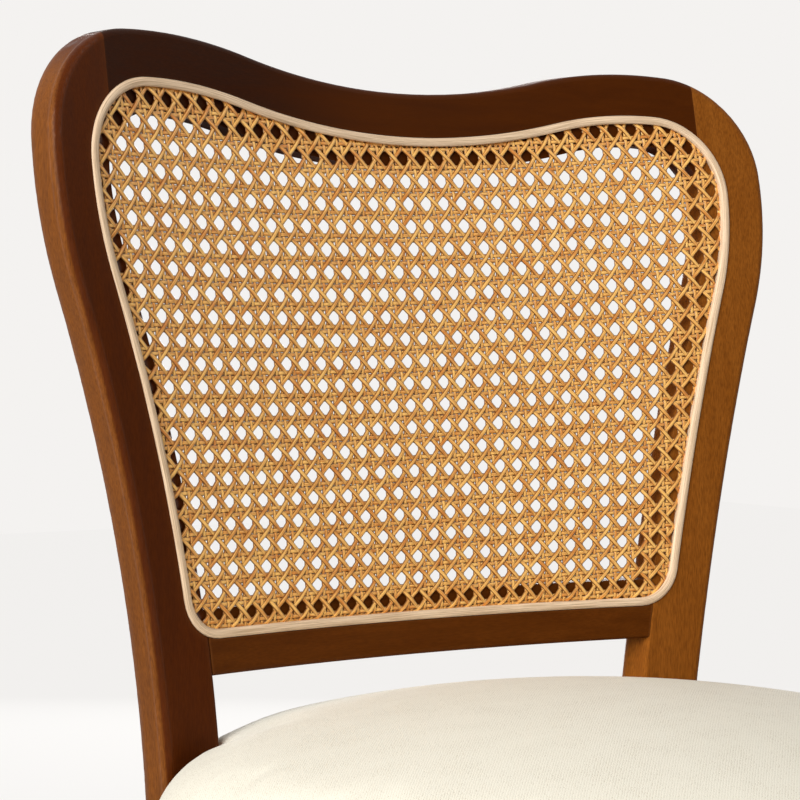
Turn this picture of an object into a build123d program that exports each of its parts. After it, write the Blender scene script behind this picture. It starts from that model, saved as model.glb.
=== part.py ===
"""Cane back dining chair: hourglass back with a pressed-in cane panel, round padded seat, four legs.

The chair faces -Y, and left and right are as seen from in front of it. It is built about the
upright part of its back, and centred over its footprint at the end.
"""
import math
import os

from build123d import *

os.makedirs("parts", exist_ok=True)

# Back as a whole: its height over the seat ring, and the two curves of its front face
panel_over_ring = 265         # middle of the cane panel over the top of the seat ring
back_plan_radius = 869        # the back wraps round the sitter
back_side_radius = 1935       # and leans away further the higher it goes
panel_rake = 7.02             # degrees of lean at the middle of the panel
rear_leg_side_radius = 1050   # rear legs sweep back towards the floor
frame_thickness = 26
rear_foot_width = 28

# Outer edge of the back, from the middle of the panel: tangent arcs from crest to waist
crest_dip_height = 153.5
crest_ear_height = 175
crest_dip_radius = 443
crest_crown_radius = 278
ear_half_width = 254
ear_widest_height = 103
ear_radius = 63
cheek_radius = 227
waist_radius = 1259
post_half_span = 184.7
crest_joint_half_span = 212

# Cane panel, the reed that locks it and the seat that both have in the frame
face_margin = 25.5            # wood showing outside the reed
reed_width = 5
reed_crown = 0.9
reed_ear_radius = 47
reed_corner_radius = 26
reed_bottom_drop = 149
groove_depth = 7
ledge_width = 9               # wood behind the cane's edge, along the posts
crest_ledge_width = 14
lower_ledge_width = 11
cane_thickness = 1.8
cane_setback = 0.2
cane_pitch = 12.7             # half-inch cane webbing
net_coarsening = 1.9          # the solid net has fewer, wider gaps than the woven one
net_gap_share = 0.56
press_gap = 0.3

# Lower back rail
lower_rail_drop = 168.5
lower_rail_thickness = 17
lower_rail_half_span = 161
lower_tenon_thickness = 6
lower_tenon_height = 18
lower_tenon_length = 14
lower_tenon_depth = 12        # middle of the tenon behind the front face

# Arris rounding of the frame
front_arris = 4
back_arris = 8
small_arris = 2

# Round seat ring and its legs
ring_centre_reach = 162.6     # centre of the round seat in front of the back
ring_inner_radius = 219
ring_thickness = 24
rear_rail_thickness = 18
rail_top_height = 400
rail_height = 50
rail_bottom_arris = 3
housing_depth = 2
leg_azimuth = 45              # degrees round the ring from the front and from the back
front_leg_width = 36
front_leg_proud = 4
front_foot_width = 25
front_leg_splay = 12
leg_arris = 3
foot_arris = 8
tenon_thickness = 8
tenon_height = 34
tenon_length = 10
rear_tenon_setback = 3
joint_fit = 0.15
joint_end_gap = 1

# Seat pad: plywood board, foam, fabric
board_thickness = 12
foam_thickness = 78
pad_overhang = 5              # how far the pad stands out over the seat ring
pad_crown = 39.5
pad_roll_radius = 48
pad_draw_in = 4
fabric_thickness = 1.3
soft_gap = 0.3
post_notch_gap = 2.5
board_notch_gap = 6
hem_width = 30
dust_cover_thickness = 0.8

# Corner blocks and small hardware
block_radial_depth = 34
block_half_length = 50
block_height = 30
block_drop = 4
block_screw_angle = 11        # degrees to either side of the leg
screw_shank_radius = 2
screw_head_radius = 4
screw_head_height = 2.5
block_screw_length = 46
seat_screw_length = 43
dowel_radius = 3
dowel_half_length = 12
dowel_chamfer = 1
dowel_spacing = 13
dowel_edge_distance = 11.5
dowel_depth = 15
glide_radius = 8
glide_height = 4
glide_arris = 1
glide_nail_radius = 1.5
glide_nail_length = 16

overrun = 20                  # how far every cutter runs past what it cuts

# Where the back stands upright, and the circles that its outer edge is made of
panel_height = rail_top_height + panel_over_ring
upright_height = panel_height - back_side_radius * math.sin(math.radians(panel_rake))
rail_bottom_height = rail_top_height - rail_height
crest_slope = math.acos(1 - (crest_ear_height - crest_dip_height) / (crest_dip_radius + crest_crown_radius))
cheek_slope = math.acos(1 - (ear_half_width - post_half_span) / (cheek_radius + waist_radius))
dip_centre = Vector(0, crest_dip_height + crest_dip_radius)
crown_centre = dip_centre + Vector(math.sin(crest_slope), -math.cos(crest_slope)) * (
    crest_dip_radius + crest_crown_radius)
cheek_centre = Vector(ear_half_width - cheek_radius, ear_widest_height)
waist_centre = cheek_centre + Vector(math.cos(cheek_slope), -math.sin(cheek_slope)) * (
    cheek_radius + waist_radius)
foot_level = glide_height - panel_height
prism_reach = back_side_radius / 2
post_width = face_margin + reed_width + ledge_width
opening_ear_radius = reed_ear_radius - reed_width - ledge_width
opening_bottom_drop = reed_bottom_drop - reed_width - lower_ledge_width
rebate_depth = cane_setback + cane_thickness + press_gap

# The round seat
ring_centre = Vector(0, -ring_centre_reach)
ring_outer_radius = ring_inner_radius + ring_thickness
front_leg_radius = ring_outer_radius + front_leg_proud - front_leg_width / 2
board_bottom_height = rail_top_height + fabric_thickness + soft_gap
board_top_height = board_bottom_height + board_thickness
pad_radius = ring_outer_radius + pad_overhang
foam_radius = pad_radius - fabric_thickness - soft_gap
crown_height = board_top_height + foam_thickness
dome_radius = (foam_radius ** 2 + pad_crown ** 2) / (2 * pad_crown)
dome_centre_height = crown_height - dome_radius
roll_centre_radius = foam_radius - pad_roll_radius
roll_centre_height = dome_centre_height + math.sqrt(
    (dome_radius - pad_roll_radius) ** 2 - roll_centre_radius ** 2)
side_drop = roll_centre_height - board_bottom_height
side_arc_radius = (side_drop ** 2 + pad_draw_in ** 2) / (2 * pad_draw_in)


# Geometry of the doubly curved back
def back_y(x, height, depth=0):
    """Y of the back at one place of the front elevation and one depth behind its front face."""
    section_y = math.sqrt((back_plan_radius + depth) ** 2 - x ** 2) - back_plan_radius
    if height > upright_height:
        rise = height - upright_height
        return back_side_radius - math.sqrt((back_side_radius - section_y) ** 2 - rise ** 2)
    if height < rail_bottom_height:
        drop = rail_bottom_height - height
        return rear_leg_side_radius - math.sqrt((rear_leg_side_radius - section_y) ** 2 - drop ** 2)
    return section_y


def depth_behind_face(point):
    """How deep a point lies behind the front face of the back."""
    section_y = point.Y
    if point.Z > upright_height:
        section_y = back_side_radius - math.hypot(point.Y - back_side_radius, point.Z - upright_height)
    if point.Z < rail_bottom_height:
        section_y = rear_leg_side_radius - math.hypot(
            point.Y - rear_leg_side_radius, point.Z - rail_bottom_height)
    return math.hypot(point.X, section_y + back_plan_radius) - back_plan_radius


def back_layer(front_depth, back_depth, with_legs=False):
    """Slab between two depths behind the front face, over the back or down to the floor."""
    half_angle = math.degrees(math.asin((ear_half_width + overrun) / back_plan_radius))
    centre = (0, -back_plan_radius)
    outer = CenterArc(centre, back_plan_radius + back_depth, 90 - half_angle, 2 * half_angle)
    inner = CenterArc(centre, back_plan_radius + front_depth, 90 - half_angle, 2 * half_angle)
    ends = [Line(outer @ 0, inner @ 0), Line(outer @ 1, inner @ 1)]
    section = Pos(0, 0, upright_height) * make_face([outer, inner] + ends)
    upper_axis = Axis((0, back_side_radius, upright_height), (1, 0, 0))
    top = panel_height + crest_ear_height + overrun - upright_height
    slab = revolve(section, upper_axis, -math.degrees(math.asin(top / (back_side_radius - back_depth))))
    if not with_legs:
        return slab
    straight = extrude(section, rail_bottom_height - upright_height)
    low_section = Pos(0, 0, rail_bottom_height - upright_height) * section
    lower_axis = Axis((0, rear_leg_side_radius, rail_bottom_height), (1, 0, 0))
    low = (rail_bottom_height + overrun) / (rear_leg_side_radius - back_depth)
    return slab + straight + revolve(low_section, lower_axis, math.degrees(math.asin(low)))


def elevation_prism(face):
    """Prism through the whole back with an outline drawn in front elevation round the panel."""
    return extrude(Pos(0, 0, panel_height) * (Plane.XZ * face), prism_reach, both=True)


def direction(start, end):
    """Angle in degrees from one point to another."""
    return math.degrees(math.atan2(end.Y - start.Y, end.X - start.X))


def ear_centre(crest_inset, inset, radius):
    """Centre of the ear arc that rolls inside the crown and the cheek arcs."""
    crown_reach = crest_crown_radius - crest_inset - radius
    cheek_reach = cheek_radius - inset - radius
    span = cheek_centre - crown_centre
    along = (crown_reach ** 2 - cheek_reach ** 2 + span.length ** 2) / (2 * span.length)
    aside = math.sqrt(crown_reach ** 2 - along ** 2)
    return crown_centre + span.normalized() * along + span.normalized().rotate(Axis.Z, -90) * aside


def outline_face(inset, corner, foot_width=0, crest_extra=0):
    """Everything inside the outer edge moved in by inset, and by crest_extra more under the crest."""
    rise, lean = math.degrees(crest_slope), math.degrees(cheek_slope)
    crest_inset = inset + crest_extra
    centre = ear_centre(crest_inset, inset, corner)
    crown_end, cheek_start = direction(crown_centre, centre), direction(cheek_centre, centre)
    half = [
        CenterArc(dip_centre, crest_dip_radius + crest_inset, -90, rise),
        CenterArc(crown_centre, crest_crown_radius - crest_inset, 90 + rise, crown_end - 90 - rise),
        CenterArc(centre, corner, crown_end, cheek_start - crown_end),
        CenterArc(cheek_centre, cheek_radius - inset, cheek_start, -lean - cheek_start),
        CenterArc(waist_centre, waist_radius + inset, 180 - lean, lean),
    ]
    knee = half[-1] @ 1
    foot = Vector(knee.X, foot_level)
    if foot_width:
        foot = Vector(post_half_span - foot_width, foot_level)
    half.append(TangentArc(knee, foot, tangent=(0, -1)) if foot_width else Line(knee, foot))
    half.append(Line(foot, (0, foot_level)))
    return make_face(half + [mirror(edge, Plane.YZ) for edge in half])


def elevation_strip(bottom, top, half_span):
    """Front elevation of a strip between two levels."""
    return Pos(0, bottom) * Rectangle(2 * half_span, top - bottom, align=(Align.CENTER, Align.MIN))


def reed_face(inset, fit=0):
    """Front elevation of the reed's outline, or of one inside it, with its bottom corners rounded."""
    step = inset - face_margin + fit
    strip = elevation_strip(step - reed_bottom_drop, crest_ear_height, ear_half_width)
    outline = outline_face(inset + fit, reed_ear_radius - step) & strip
    corners = outline.vertices().sort_by(Axis.Y)[:2]
    return fillet(corners, reed_corner_radius - step)


def inside_posts(inset):
    """Front elevation between the posts, or between lines inside them."""
    share = inset / post_width
    foot_width = post_width + (rear_foot_width - post_width) * share
    corner = ear_radius + (opening_ear_radius - ear_radius) * share
    return outline_face(inset, corner, foot_width * share, (crest_ledge_width - ledge_width) * share)


def post_inner_x(height):
    """Where the inner edge of a post stands, from the middle of the chair."""
    return waist_centre.X - math.sqrt(
        (waist_radius + post_width) ** 2 - (height - panel_height - waist_centre.Y) ** 2)


# Where pieces seat in one another
post_x = post_inner_x(rail_top_height)
housing_y = back_y(post_x, rail_top_height)
housing_x = post_x + housing_depth
post_centre_x = post_x + post_width / 2
rail_middle_height = rail_top_height - rail_height / 2


def both_sides(solid):
    """A piece on the right and its mirror image on the left."""
    return [solid, mirror(solid, Plane.YZ)]


def upright_box(x_from, x_to, y_from, y_to, z_from, z_to):
    """Box given by its sides."""
    corner = Pos(x_from, y_from, z_from)
    return corner * Box(x_to - x_from, y_to - y_from, z_to - z_from, align=Align.MIN)


def on_ring(azimuth, radius, height):
    """Place on the seat ring whose x points outward; azimuth runs from the front towards the right."""
    return Pos(ring_centre.X, ring_centre.Y, height) * Rot(0, 0, azimuth - 90) * Pos(radius, 0, 0)


def leg_azimuths():
    """Azimuths of the four legs: front right, front left, rear right, rear left."""
    return [leg_azimuth, -leg_azimuth, 180 - leg_azimuth, leg_azimuth - 180]


# Wooden back frame
def long_arrises(arch, depth, sides):
    """Long edges of the arch at one depth, on its outer side, its inner side or both."""
    middle = inside_posts(post_width / 2)
    seams = (upright_height, rail_bottom_height, glide_height)
    chosen = []
    for edge in arch.edges():
        point = edge @ 0.5
        level = edge.bounding_box().size.Z < joint_fit
        if level and min(abs(point.Z - seam) for seam in seams) < joint_fit:
            continue
        side = "inner" if middle.is_inside(Vector(point.X, point.Z - panel_height)) else "outer"
        if side in sides and abs(depth_behind_face(point) - depth) < joint_fit:
            chosen.append(edge)
    return chosen


def frame_arch():
    """Posts and crest in one piece, with their arrises rounded over as they are after glue-up."""
    band = inside_posts(0) - inside_posts(post_width)
    arch = back_layer(0, frame_thickness, with_legs=True) & elevation_prism(band)
    arch = fillet(long_arrises(arch, 0, ["outer"]), front_arris)
    return fillet(long_arrises(arch, frame_thickness, ["outer", "inner"]), back_arris)


def cane_seat():
    """What is cut from the frame for the reed's groove and for the ledge that the cane lies on."""
    ring = reed_face(face_margin) - reed_face(face_margin + reed_width)
    groove = back_layer(-overrun, groove_depth) & elevation_prism(ring)
    rebate = back_layer(-overrun, rebate_depth) & elevation_prism(reed_face(face_margin + reed_width))
    return groove + rebate


def lower_rail_blank(inset, half_span):
    """Slab of the lower back rail between lines inside the posts, as wide as half_span allows."""
    strip = elevation_strip(-lower_rail_drop, -opening_bottom_drop, half_span)
    return back_layer(0, lower_rail_thickness) & elevation_prism(inside_posts(inset) & strip)


def lower_tenon(fit=0, end_gap=0):
    """Tenon of the lower rail into the right post, or its mortise."""
    height = panel_height - (lower_rail_drop + opening_bottom_drop) / 2
    place = Pos(lower_rail_half_span, back_y(lower_rail_half_span, height, lower_tenon_depth), height)
    turn = math.degrees(math.asin(lower_rail_half_span / back_plan_radius))
    length = 2 * (lower_tenon_length + end_gap)
    return place * Rot(0, 0, -turn) * Box(
        length, lower_tenon_thickness + 2 * fit, lower_tenon_height + 2 * fit)


def crest_dowel_places():
    """Middles of the two dowels in the right joint of the crest rail, lying along the back's curve."""
    centre = ear_centre(0, 0, ear_radius)
    edge = centre.Y + math.sqrt(ear_radius ** 2 - (crest_joint_half_span - centre.X) ** 2)
    turn = math.degrees(math.asin(crest_joint_half_span / back_plan_radius))
    places = []
    for count in range(2):
        height = panel_height + edge - dowel_edge_distance - count * dowel_spacing
        y = back_y(crest_joint_half_span, height, dowel_depth)
        places.append(Pos(crest_joint_half_span, y, height) * Rot(0, 0, -turn) * Rot(0, 90, 0))
    return places


def make_crest_rail(arch):
    """Crest rail: its ends butt against the posts in upright joints near the ears."""
    reach = 2 * ear_half_width
    level = panel_height + ear_widest_height
    block = upright_box(-crest_joint_half_span, crest_joint_half_span, -reach, reach, level, level + reach)
    crest = (arch & block) - cane_seat()
    holes = [place * Cylinder(dowel_radius + joint_fit, 2 * (dowel_half_length + joint_end_gap))
             for place in crest_dowel_places()]
    for hole in holes:
        crest -= both_sides(hole)
    return crest


def make_crest_dowels():
    """Four dowels, two in each joint of the crest rail."""
    dowel = Cylinder(dowel_radius, 2 * dowel_half_length)
    dowel = chamfer(dowel.edges().filter_by(GeomType.CIRCLE), dowel_chamfer)
    dowels = []
    for place in crest_dowel_places():
        dowels += both_sides(place * dowel)
    return Compound(dowels)


def make_right_post(arch):
    """Back post and rear leg in one sawn piece, with the seats of everything that meets it."""
    reach = 2 * ear_half_width
    level = panel_height + ear_widest_height
    crest_block = upright_box(-reach, crest_joint_half_span, -reach, reach, level, level + reach)
    post = (arch - crest_block) & upright_box(0, reach, -reach, reach, 0, 2 * panel_height)
    horn = lower_rail_blank(post_width / 2, ear_half_width)
    horn &= upright_box(lower_rail_half_span, reach, -reach, reach, 0, panel_height)
    post = post + horn - cane_seat()
    inner = [edge for edge in long_arrises(post, 0, ["inner"])
             if (edge @ 0.5).Z < panel_height - lower_rail_drop - joint_fit and (edge @ 0.5).Z > glide_height]
    post = fillet(inner, small_arris)
    post -= [lower_tenon(joint_fit, joint_end_gap), side_rail_housing(), rear_rail_housing()]
    post -= [side_tenon(joint_fit, joint_end_gap), rear_tenon(joint_fit, joint_end_gap)]
    for place in crest_dowel_places():
        post -= place * Cylinder(dowel_radius + joint_fit, 2 * (dowel_half_length + joint_end_gap))
    return post - glide_nail(rear_glide_place(), joint_fit)


def make_lower_back_rail():
    """Lower rail: it closes the opening, carries the cane's bottom edge and is tenoned into the posts."""
    rail = lower_rail_blank(post_width, lower_rail_half_span) - cane_seat()
    bottom = panel_height - lower_rail_drop
    low = [edge for edge in rail.edges() if abs((edge @ 0.5).Z - bottom) < joint_fit
           and abs((edge @ 0.5).X) < post_width]
    rail = fillet(low, small_arris)
    return rail + both_sides(lower_tenon())


# Cane panel and its reed
def make_cane_reed():
    """Round-topped reed pressed into the groove over the edge of the cane."""
    outline = reed_face(face_margin, press_gap) - reed_face(face_margin + reed_width, -press_gap)
    reed = back_layer(-reed_crown, groove_depth - press_gap) & elevation_prism(outline)
    top = [edge for edge in reed.edges() if abs(depth_behind_face(edge @ 0.5) + reed_crown) < joint_fit]
    return fillet(top, (reed_width - 2 * press_gap) / 2 - joint_fit)


def make_cane_panel():
    """Open cane sheet bent over the ledge, one holed face given its thickness."""
    pitch = cane_pitch * net_coarsening
    gap_radius = pitch * net_gap_share / 2
    sheet = reed_face(face_margin + reed_width, press_gap)
    keep = reed_face(face_margin + reed_width, press_gap + gap_radius + cane_thickness)
    columns, rows = int(ear_half_width / pitch), int(crest_ear_height / pitch)
    gaps = []
    for column in range(-columns, columns + 1):
        for row in range(-rows, rows + 1):
            if keep.is_inside(Vector(column * pitch, row * pitch)):
                gaps.append(Pos(column * pitch, row * pitch) * RegularPolygon(gap_radius, 6, rotation=30))
    print("gaps in the cane net:", len(gaps))
    return back_layer(cane_setback, cane_setback + cane_thickness) & elevation_prism(sheet - gaps)


# Seat ring and front legs
def ring_band(outer_radius, fit=0):
    """Whole round band of the seat ring."""
    ring = Circle(outer_radius + fit) - Circle(ring_inner_radius - fit)
    return Pos(ring_centre.X, ring_centre.Y, rail_bottom_height - fit) * extrude(ring, rail_height + 2 * fit)


def front_of_housing(fit=0):
    """Front and side rails as one band that stops at the flat seats in the posts."""
    reach = 2 * ring_outer_radius
    return ring_band(ring_outer_radius, fit) & upright_box(-reach, reach, -2 * reach, housing_y, 0, panel_height)


def between_housings(fit=0):
    """Rear rail as a band between the flat seats in the posts' inner faces."""
    reach = 2 * ring_outer_radius
    band = ring_band(ring_inner_radius + rear_rail_thickness, fit)
    return band & upright_box(-housing_x, housing_x, housing_y, reach, 0, panel_height)


def side_rail_housing():
    """Shallow seat of the side rail in the right post's front face."""
    return front_of_housing(joint_fit)


def rear_rail_housing():
    """Shallow seat of the rear rail in the right post's inner face."""
    return between_housings(joint_fit)


def side_tenon(fit=0, end_gap=0):
    """Tenon at the rear end of the right side rail, or its mortise in the post."""
    size = (tenon_thickness + 2 * fit, 2 * (tenon_length + end_gap), tenon_height + 2 * fit)
    return Pos(post_centre_x, housing_y, rail_middle_height) * Box(*size)


def rear_tenon(fit=0, end_gap=0):
    """Tenon at the right end of the rear rail, or its mortise in the post."""
    y = back_y(housing_x, rail_middle_height, frame_thickness / 2) + rear_tenon_setback
    size = (2 * (tenon_length + end_gap), tenon_thickness + 2 * fit, tenon_height + 2 * fit)
    return Pos(housing_x, y, rail_middle_height) * Box(*size)


def leg_tenon(azimuth, side, fit=0, end_gap=0):
    """Tenon of a rail into one side of a front leg, or its mortise."""
    place = on_ring(azimuth, ring_inner_radius + ring_thickness / 2, rail_middle_height)
    size = (tenon_thickness + 2 * fit, 2 * (tenon_length + end_gap), tenon_height + 2 * fit)
    return place * Pos(0, side * front_leg_width / 2, 0) * Box(*size)


def leg_slot(azimuth, fit=0):
    """Space that a front leg takes up in the ring."""
    place = on_ring(azimuth, front_leg_radius, rail_top_height)
    width = front_leg_width + 2 * fit
    return place * Box(width, width, 4 * rail_height)


def soften_rail(rail, outer_radius):
    """Round the lower outer arris of a ring rail."""
    low = []
    for edge in rail.edges():
        point = edge @ 0.5
        reach = math.hypot(point.X - ring_centre.X, point.Y - ring_centre.Y)
        if abs(point.Z - rail_bottom_height) < joint_fit and abs(reach - outer_radius) < joint_fit:
            low.append(edge)
    return rail.fillet(rail_bottom_arris, low)


def make_front_and_side_rails():
    """Front, left and right rails of the ring with their tenons and screw holes."""
    band = front_of_housing() - [leg_slot(leg_azimuth), leg_slot(-leg_azimuth)]
    left, front, right = band.solids().sort_by(Axis.X)
    front = soften_rail(front, ring_outer_radius) + [leg_tenon(leg_azimuth, -1), leg_tenon(-leg_azimuth, 1)]
    right = soften_rail(right, ring_outer_radius) + [leg_tenon(leg_azimuth, 1), side_tenon()]
    front -= block_screw_holes()
    right -= block_screw_holes()
    return front, mirror(right, Plane.YZ), right


def make_rear_rail():
    """Bowed rear rail between the posts, its tenons flush with its inner face."""
    rail = soften_rail(between_housings(), ring_inner_radius + rear_rail_thickness)
    inside = Pos(ring_centre.X, ring_centre.Y, rail_bottom_height) * extrude(Circle(ring_inner_radius), rail_height)
    return rail + both_sides(rear_tenon() - inside) - block_screw_holes()


def make_right_front_leg():
    """Front leg: a square block between the rails over a leg that tapers and curves outward."""
    sections = []
    for step in range(3):
        share = step / 2
        width = front_leg_width + (front_foot_width - front_leg_width) * share
        arris = leg_arris + (foot_arris - leg_arris) * share
        height = rail_bottom_height + (glide_height - rail_bottom_height) * share
        place = on_ring(leg_azimuth, front_leg_radius + front_leg_splay * share ** 2, height)
        sections.append(place * RectangleRounded(width, width, arris))
    block = extrude(sections[0], rail_height)
    leg = block + loft(sections)
    for side in (-1, 1):
        leg -= leg_tenon(leg_azimuth, side, joint_fit, joint_end_gap)
    return leg - glide_nail(front_glide_place(), joint_fit)


# Glides under the four feet
def front_glide_place():
    """Middle of the right front foot, on the floor."""
    return on_ring(leg_azimuth, front_leg_radius + front_leg_splay, 0)


def rear_glide_place():
    """Middle of the right rear foot, on the floor."""
    x = post_half_span - rear_foot_width / 2
    return Pos(x, back_y(x, glide_height, frame_thickness / 2), 0)


def glide_nail(place, fit=0):
    """Nail of a glide, or its hole in the leg."""
    nail = Cylinder(glide_nail_radius + fit, glide_nail_length + fit, align=(Align.CENTER, Align.CENTER, Align.MIN))
    return place * Pos(0, 0, glide_height) * nail


def make_leg_glides():
    """Four nail-in glides with rounded edges."""
    disc = Cylinder(glide_radius, glide_height, align=(Align.CENTER, Align.CENTER, Align.MIN))
    disc = chamfer(disc.edges().sort_by(Axis.Z)[0], glide_arris)
    glides = []
    for place in (front_glide_place(), rear_glide_place()):
        glides += both_sides(place * disc + glide_nail(place))
    return Compound(glides)


# Screws and corner blocks
def screw(length, fit=0, head_room=0):
    """Countersunk screw along z with its head's face at zero, or its hole with room over the head."""
    head, shank = screw_head_radius + fit, screw_shank_radius + fit
    outline = [(0, 0), (head, 0), (shank, screw_head_height + fit), (shank, length + fit), (0, length + fit)]
    body = revolve(Plane.XZ * make_face(Polyline(*outline, close=True)), Axis.Z)
    if head_room:
        body += Cylinder(head, head_room, align=(Align.CENTER, Align.CENTER, Align.MAX))
    return body


def block_screw_places():
    """Heads of the two radial screws in each corner block."""
    face = ring_inner_radius - block_radial_depth
    height = rail_top_height - block_drop - block_height / 2
    places = []
    for azimuth in leg_azimuths():
        for side in (-1, 1):
            radius = face / math.cos(math.radians(block_screw_angle)) + joint_end_gap
            places.append(on_ring(azimuth + side * block_screw_angle, radius, height) * Rot(0, 90, 0))
    return places


def seat_screw_places():
    """Heads of the four screws that hold the seat board down, one up through each block."""
    inner_face = front_leg_radius - front_leg_width / 2
    radius = (ring_inner_radius - block_radial_depth + inner_face) / 2
    height = rail_top_height - block_drop - block_height
    return [on_ring(azimuth, radius, height) for azimuth in leg_azimuths()]


def block_screw_holes():
    """Holes of all radial screws."""
    return [place * screw(block_screw_length, joint_fit, overrun) for place in block_screw_places()]


def seat_screw_holes():
    """Holes of all seat screws."""
    return [place * screw(seat_screw_length, joint_fit, overrun) for place in seat_screw_places()]


def make_corner_block(azimuth):
    """Glue block inside the ring at one leg, shaped to the rails and let round the leg or the post."""
    bottom = rail_top_height - block_drop - block_height
    disc = Pos(ring_centre.X, ring_centre.Y, bottom) * extrude(Circle(ring_inner_radius - soft_gap), block_height)
    place = on_ring(azimuth, ring_inner_radius - block_radial_depth, bottom)
    blank = place * Box(overrun + block_radial_depth, 2 * block_half_length, block_height,
                        align=(Align.MIN, Align.CENTER, Align.MIN))
    legs = [leg_slot(leg_azimuth, soft_gap), leg_slot(-leg_azimuth, soft_gap)]
    block = (disc & blank) - (legs if abs(azimuth) < 90 else post_notches(soft_gap))
    return block - block_screw_holes() - seat_screw_holes()


def make_block_screws():
    """Eight screws through the corner blocks into the rails."""
    return Compound([place * screw(block_screw_length) for place in block_screw_places()])


def make_seat_screws():
    """Four screws up into the seat board."""
    return Compound([place * screw(seat_screw_length) for place in seat_screw_places()])


# Round seat pad
def pad_form(grow, bottom):
    """Domed round form with a rolled edge and drawn-in sides, larger all round by grow."""
    tangent = math.degrees(math.atan2(roll_centre_height - dome_centre_height, roll_centre_radius))
    side_angle = math.degrees(math.asin((roll_centre_height - bottom) / (side_arc_radius + grow)))
    dome = CenterArc((0, dome_centre_height), dome_radius + grow, tangent, 90 - tangent)
    roll = CenterArc((roll_centre_radius, roll_centre_height), pad_roll_radius + grow, 0, tangent)
    side = CenterArc((foam_radius - side_arc_radius, roll_centre_height), side_arc_radius + grow, -side_angle, side_angle)
    base = Line(side @ 0, (0, bottom))
    axis = Line((0, bottom), dome @ 1)
    form = revolve(Plane.XZ * make_face([dome, roll, side, base, axis]), Axis.Z)
    return Pos(ring_centre.X, ring_centre.Y, 0) * form


def post_notches(gap):
    """Corner notches that clear the fronts and the inner edges of the two posts by gap."""
    outer_x = post_inner_x(crown_height) + post_width
    reach = 2 * pad_radius
    y = back_y(outer_x, upright_height) - gap
    notch = upright_box(0, reach, y, reach, 0, panel_height) - elevation_prism(inside_posts(post_width + gap))
    return both_sides(notch)


def make_seat_board():
    """Plywood board under the foam."""
    disc = extrude(Circle(foam_radius - pad_draw_in), board_thickness)
    board = Pos(ring_centre.X, ring_centre.Y, board_bottom_height) * disc
    return board - post_notches(board_notch_gap) - seat_screw_holes()


def make_seat_foam():
    """Foam with its crown, rolled edge and drawn-in sides."""
    return pad_form(0, board_top_height) - post_notches(post_notch_gap + fabric_thickness + soft_gap)


def make_seat_cover():
    """Fabric skin over the foam and the board, turned under in a hem."""
    outside = pad_form(soft_gap + fabric_thickness, rail_top_height) - post_notches(post_notch_gap)
    inside = pad_form(soft_gap, rail_top_height + fabric_thickness)
    inside -= post_notches(post_notch_gap + fabric_thickness)
    opening = extrude(Circle(foam_radius - hem_width), fabric_thickness + joint_fit)
    return outside - inside - Pos(ring_centre.X, ring_centre.Y, rail_top_height) * opening


def make_dust_cover():
    """Thin cloth stapled under the board inside the ring."""
    disc = extrude(Circle(ring_inner_radius - press_gap), dust_cover_thickness)
    cloth = Pos(ring_centre.X, ring_centre.Y, rail_top_height - soft_gap - dust_cover_thickness) * disc
    cloth -= [leg_slot(leg_azimuth, soft_gap), leg_slot(-leg_azimuth, soft_gap)]
    return cloth - post_notches(soft_gap) - seat_screw_holes()


# The whole chair
def chair_pieces():
    """Every piece under its own name."""
    arch = frame_arch()
    front_rail, left_rail, right_rail = make_front_and_side_rails()
    right_post = make_right_post(arch)
    right_leg = make_right_front_leg()
    pieces = {
        "crest_rail": make_crest_rail(arch),
        "left_back_post": mirror(right_post, Plane.YZ),
        "right_back_post": right_post,
        "lower_back_rail": make_lower_back_rail(),
        "crest_dowels": make_crest_dowels(),
        "cane_panel": make_cane_panel(),
        "cane_reed": make_cane_reed(),
        "front_seat_rail": front_rail,
        "left_seat_rail": left_rail,
        "right_seat_rail": right_rail,
        "rear_seat_rail": make_rear_rail(),
        "left_front_leg": mirror(right_leg, Plane.YZ),
        "right_front_leg": right_leg,
        "corner_block_screws": make_block_screws(),
        "seat_screws": make_seat_screws(),
        "leg_glides": make_leg_glides(),
        "seat_board": make_seat_board(),
        "seat_foam": make_seat_foam(),
        "seat_cover": make_seat_cover(),
        "dust_cover": make_dust_cover(),
    }
    corners = ("right_front", "left_front", "right_rear", "left_rear")
    for corner, azimuth in zip(corners, leg_azimuths()):
        pieces[corner + "_corner_block"] = make_corner_block(azimuth)
    return pieces


pieces = chair_pieces()
middle_y = Compound([solid for piece in pieces.values() for solid in piece.solids()]).bounding_box().center().Y
for name, piece in pieces.items():
    export_step(Pos(0, -middle_y, 0) * piece, f"parts/{name}.step")
print("moved to its centre by", -middle_y)
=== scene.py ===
import math

import bmesh
import bpy
from mathutils import Matrix, Vector, kdtree, noise


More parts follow.
